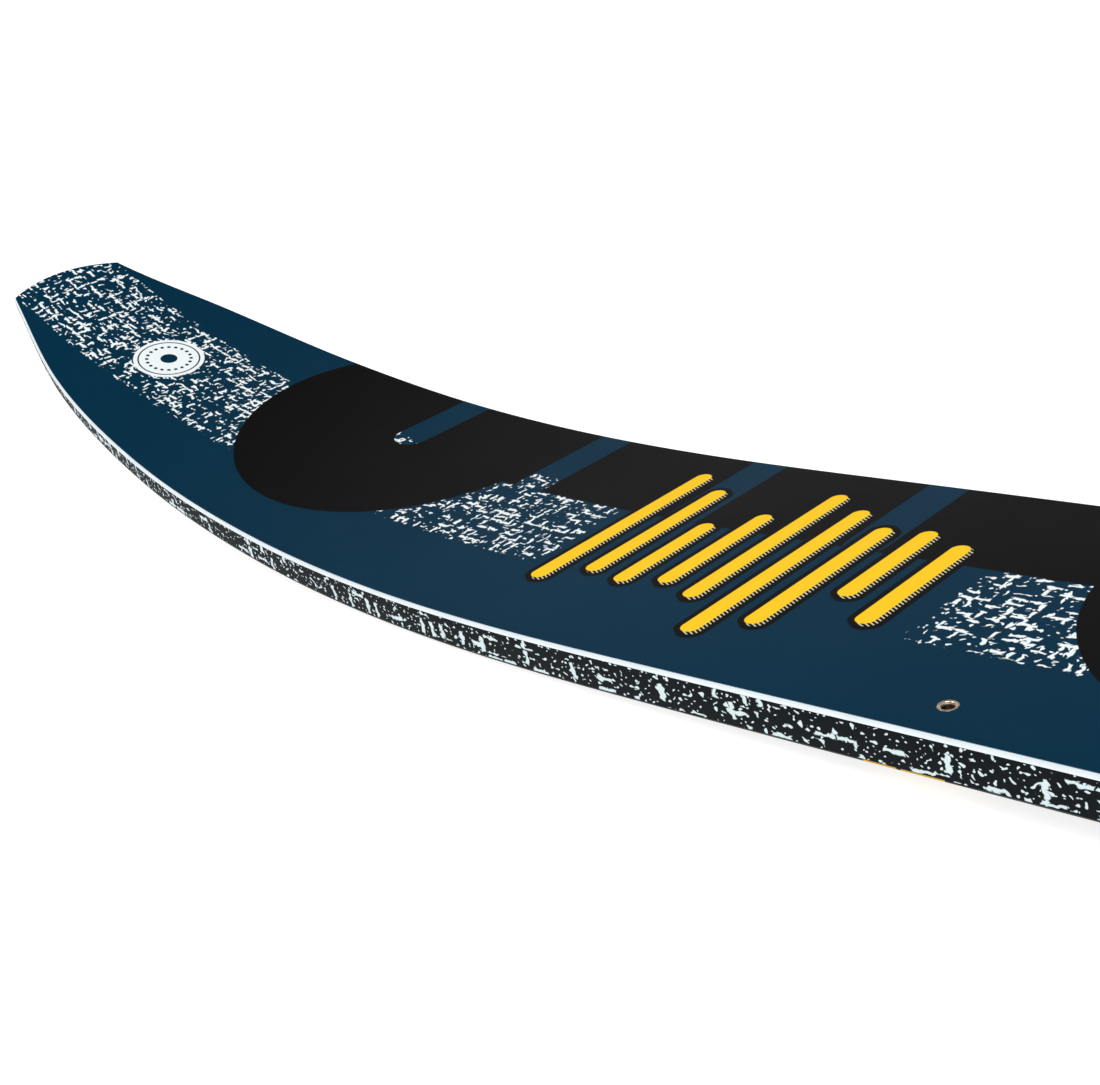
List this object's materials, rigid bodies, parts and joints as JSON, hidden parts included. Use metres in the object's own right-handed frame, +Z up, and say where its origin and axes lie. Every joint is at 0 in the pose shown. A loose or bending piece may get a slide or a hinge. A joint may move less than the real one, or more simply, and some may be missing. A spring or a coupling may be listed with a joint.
{
  "type": "slalom water ski",
  "caption": "Long narrow ski with a swept-up tip, bevelled rails, threaded binding inserts and a clamped adjustable fin with a small wing under its tail.",
  "frame": {"origin": "middle of the ski's length and width, on the floor it rests on, at the height of the fin's lower edge and the nose rocker's lowest line", "axes": "+X runs along the ski towards the tail, +Y to the skier's right, +Z up; the ski is in its resting attitude, so its flat deck is tilted up by 2.7 degrees towards the tail"},
  "size_m": [1.7258, 0.207, 0.136],
  "materials": {
    "printed_film": "satin printed plastic film over a white sheet",
    "white_backing": "white sheet, trimmed to a bright bevel at the edge",
    "carbon_laminate": "resin-filled woven carbon",
    "core_foam": "closed-cell foam",
    "stringer_wood": "thin wood strip",
    "printed_rail": "charcoal sidewall with a white speckle print",
    "end_spacer": "solid charcoal plastic",
    "base_skin": "smooth dark base with a few yellow panels",
    "insert_brass": "turned metal, bright",
    "potting_resin": "filled resin",
    "fin_box_plastic": "moulded, fine texture",
    "anodised_clamp": "black anodised",
    "stainless_hardware": "stainless steel",
    "fin_aluminium": "brushed, clear anodised",
    "anodised_wing": "black anodised"
  },
  "bodies": {
    "ski": {"top_sheet": "printed_film", "top_sheet_backing": "white_backing", "top_laminate": "carbon_laminate", "bottom_laminate": "carbon_laminate", "core_left": "core_foam", "core_right": "core_foam", "centre_stringer": "stringer_wood", "rail_left": "printed_rail", "rail_right": "printed_rail", "tip_spacer": "end_spacer", "tail_spacer": "end_spacer", "base_sheet": "base_skin", "insert_front_plate_toe_left": "insert_brass", "potting_front_plate_toe_left": "potting_resin", "insert_front_plate_toe_right": "insert_brass", "potting_front_plate_toe_right": "potting_resin", "insert_front_plate_heel_left": "insert_brass", "potting_front_plate_heel_left": "potting_resin", "insert_front_plate_heel_right": "insert_brass", "potting_front_plate_heel_right": "potting_resin", "insert_rear_plate_toe_left": "insert_brass", "potting_rear_plate_toe_left": "potting_resin", "insert_rear_plate_toe_right": "insert_brass", "potting_rear_plate_toe_right": "potting_resin", "insert_rear_plate_heel_left": "insert_brass", "potting_rear_plate_heel_left": "potting_resin", "insert_rear_plate_heel_right": "insert_brass", "potting_rear_plate_heel_right": "potting_resin", "fin_box": "fin_box_plastic", "fin_clamp_left": "anodised_clamp", "fin_clamp_right": "anodised_clamp", "adjuster_lug_front": "anodised_clamp", "adjuster_lug_rear": "anodised_clamp", "fin_adjuster_front": "stainless_hardware", "fin_adjuster_rear": "stainless_hardware", "clamp_screw_front": "stainless_hardware", "clamp_screw_rear": "stainless_hardware", "lug_screw_front_left": "stainless_hardware", "clamp_base_screw_front_left": "stainless_hardware", "clamp_base_screw_rear_left": "stainless_hardware", "lug_screw_rear_left": "stainless_hardware", "lug_screw_front_right": "stainless_hardware", "clamp_base_screw_front_right": "stainless_hardware", "clamp_base_screw_rear_right": "stainless_hardware", "lug_screw_rear_right": "stainless_hardware"},
    "fin": {"fin_blade": "fin_aluminium"},
    "wing": {"wing_left": "anodised_wing", "wing_right": "anodised_wing", "wing_screw_front": "stainless_hardware", "wing_screw_rear": "stainless_hardware", "wing_nut_front": "stainless_hardware", "wing_nut_rear": "stainless_hardware"}
  },
  "joints": [
    {"name": "fin_slide", "type": "slide", "parent": "ski", "child": "fin", "axis": [0.997, 0, 0.0779], "range_m": [-0.003, 0.003]},
    {"name": "wing_tilt", "type": "hinge", "parent": "fin", "child": "wing", "pos_m": [0.76601, 0, 0.02368], "axis": [0, 1, 0], "range_deg": [-5, 5]}
  ]
}
